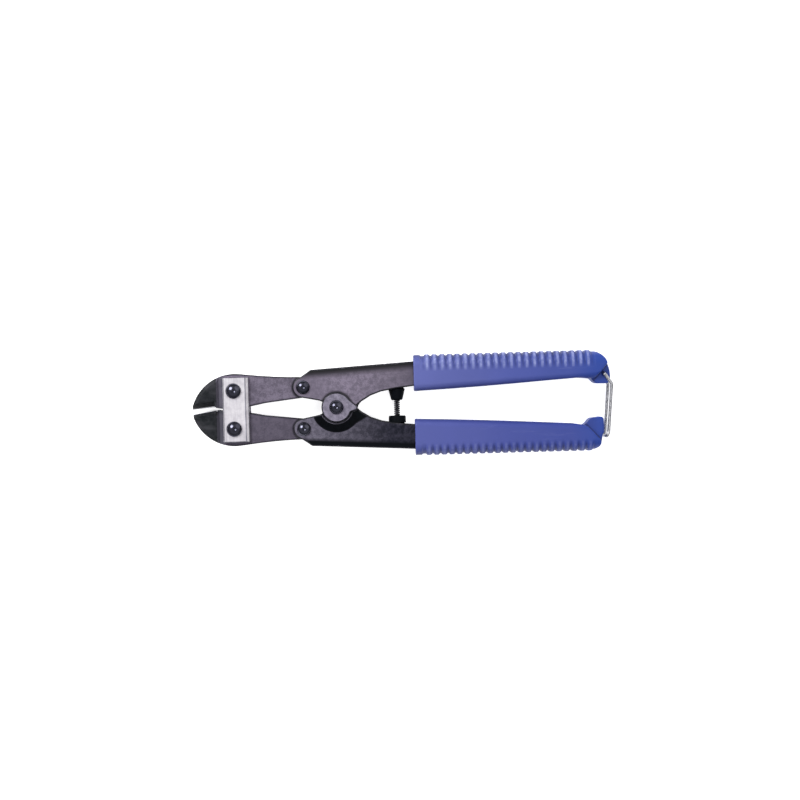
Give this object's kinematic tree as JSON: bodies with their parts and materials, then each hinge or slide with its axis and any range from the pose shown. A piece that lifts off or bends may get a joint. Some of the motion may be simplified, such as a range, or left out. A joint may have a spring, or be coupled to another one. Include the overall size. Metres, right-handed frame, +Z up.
{
  "type": "bolt cutters",
  "caption": "Compact hand bolt cutters with compound-leverage jaws, joined by link plates, channel handles in ribbed sleeves, a return spring and a wire latch.",
  "frame": {"origin": "on the table under the middle of the tool's outer box, the tool lying flat on its back", "axes": "+X along the tool from the jaws to the grips, +Y towards the upper handle that carries the latch, +Z up out of the table through the thickness, towards the domed bolt heads"},
  "size_m": [0.2097, 0.0502, 0.0185],
  "materials": {
    "blade_steel": "blued tool steel, black at the jaws",
    "plate_steel": "satin, bevelled edges",
    "black_bolt": "glossy black oxide",
    "black_nut": "black oxide",
    "handle_steel": "speckled grey-violet hammered lacquer",
    "spacer_steel": "turned",
    "grip_vinyl": "satin blue vinyl",
    "seat_plastic": "matt black",
    "spring_steel": "drawn wire",
    "latch_wire": "drawn wire"
  },
  "bodies": {
    "lower_handle": {"lower_handle": "handle_steel", "lower_grip": "grip_vinyl", "lower_spring_seat": "seat_plastic", "main_pivot_bolt": "black_bolt", "main_pivot_nut": "black_nut", "main_pivot_spacer": "spacer_steel", "lower_tail_bolt": "black_bolt", "lower_tail_nut": "black_nut", "return_spring": "spring_steel"},
    "upper_handle": {"upper_handle": "handle_steel", "upper_grip": "grip_vinyl", "upper_spring_seat": "seat_plastic", "upper_tail_bolt": "black_bolt", "upper_tail_nut": "black_nut"},
    "lower_blade": {"lower_blade": "blade_steel"},
    "upper_blade": {"upper_blade": "blade_steel", "upper_link_bolt": "black_bolt", "upper_link_nut": "black_nut"},
    "link_plates": {"front_link_plate": "plate_steel", "rear_link_plate": "plate_steel", "lower_link_bolt": "black_bolt", "lower_link_nut": "black_nut"},
    "latch_bail": {"latch_bail": "latch_wire"}
  },
  "joints": [
    {"name": "handle_pivot", "type": "hinge", "parent": "lower_handle", "child": "upper_handle", "pos_m": [-0.03272, 0, 0.009], "axis": [0, 0, 1], "range_deg": [-7, 30], "deforming": ["return_spring"]},
    {"name": "lower_blade_pivot", "type": "hinge", "parent": "lower_handle", "child": "lower_blade", "pos_m": [-0.04912, -0.01035, 0.009], "axis": [0, 0, 1], "range_deg": [-6, 23]},
    {"name": "upper_blade_pivot", "type": "hinge", "parent": "upper_handle", "child": "upper_blade", "pos_m": [-0.04912, 0.01035, 0.009], "axis": [0, 0, 1], "range_deg": [-23, 6]},
    {"name": "link_plate_pivot", "type": "hinge", "parent": "lower_blade", "child": "link_plates", "pos_m": [-0.08362, -0.00945, 0.009], "axis": [0, 0, 1], "range_deg": [-8, 2]},
    {"name": "latch_swing", "type": "hinge", "parent": "upper_handle", "child": "latch_bail", "pos_m": [0.10028, 0.0133, 0.009], "axis": [0, 0, 1], "range_deg": [0, 105]}
  ],
  "couplings": [
    {"joint": "lower_blade_pivot", "follows": "handle_pivot", "ratio": 0.7465},
    {"joint": "upper_blade_pivot", "follows": "handle_pivot", "ratio": -0.7549},
    {"joint": "link_plate_pivot", "follows": "handle_pivot", "ratio": -0.2476}
  ]
}
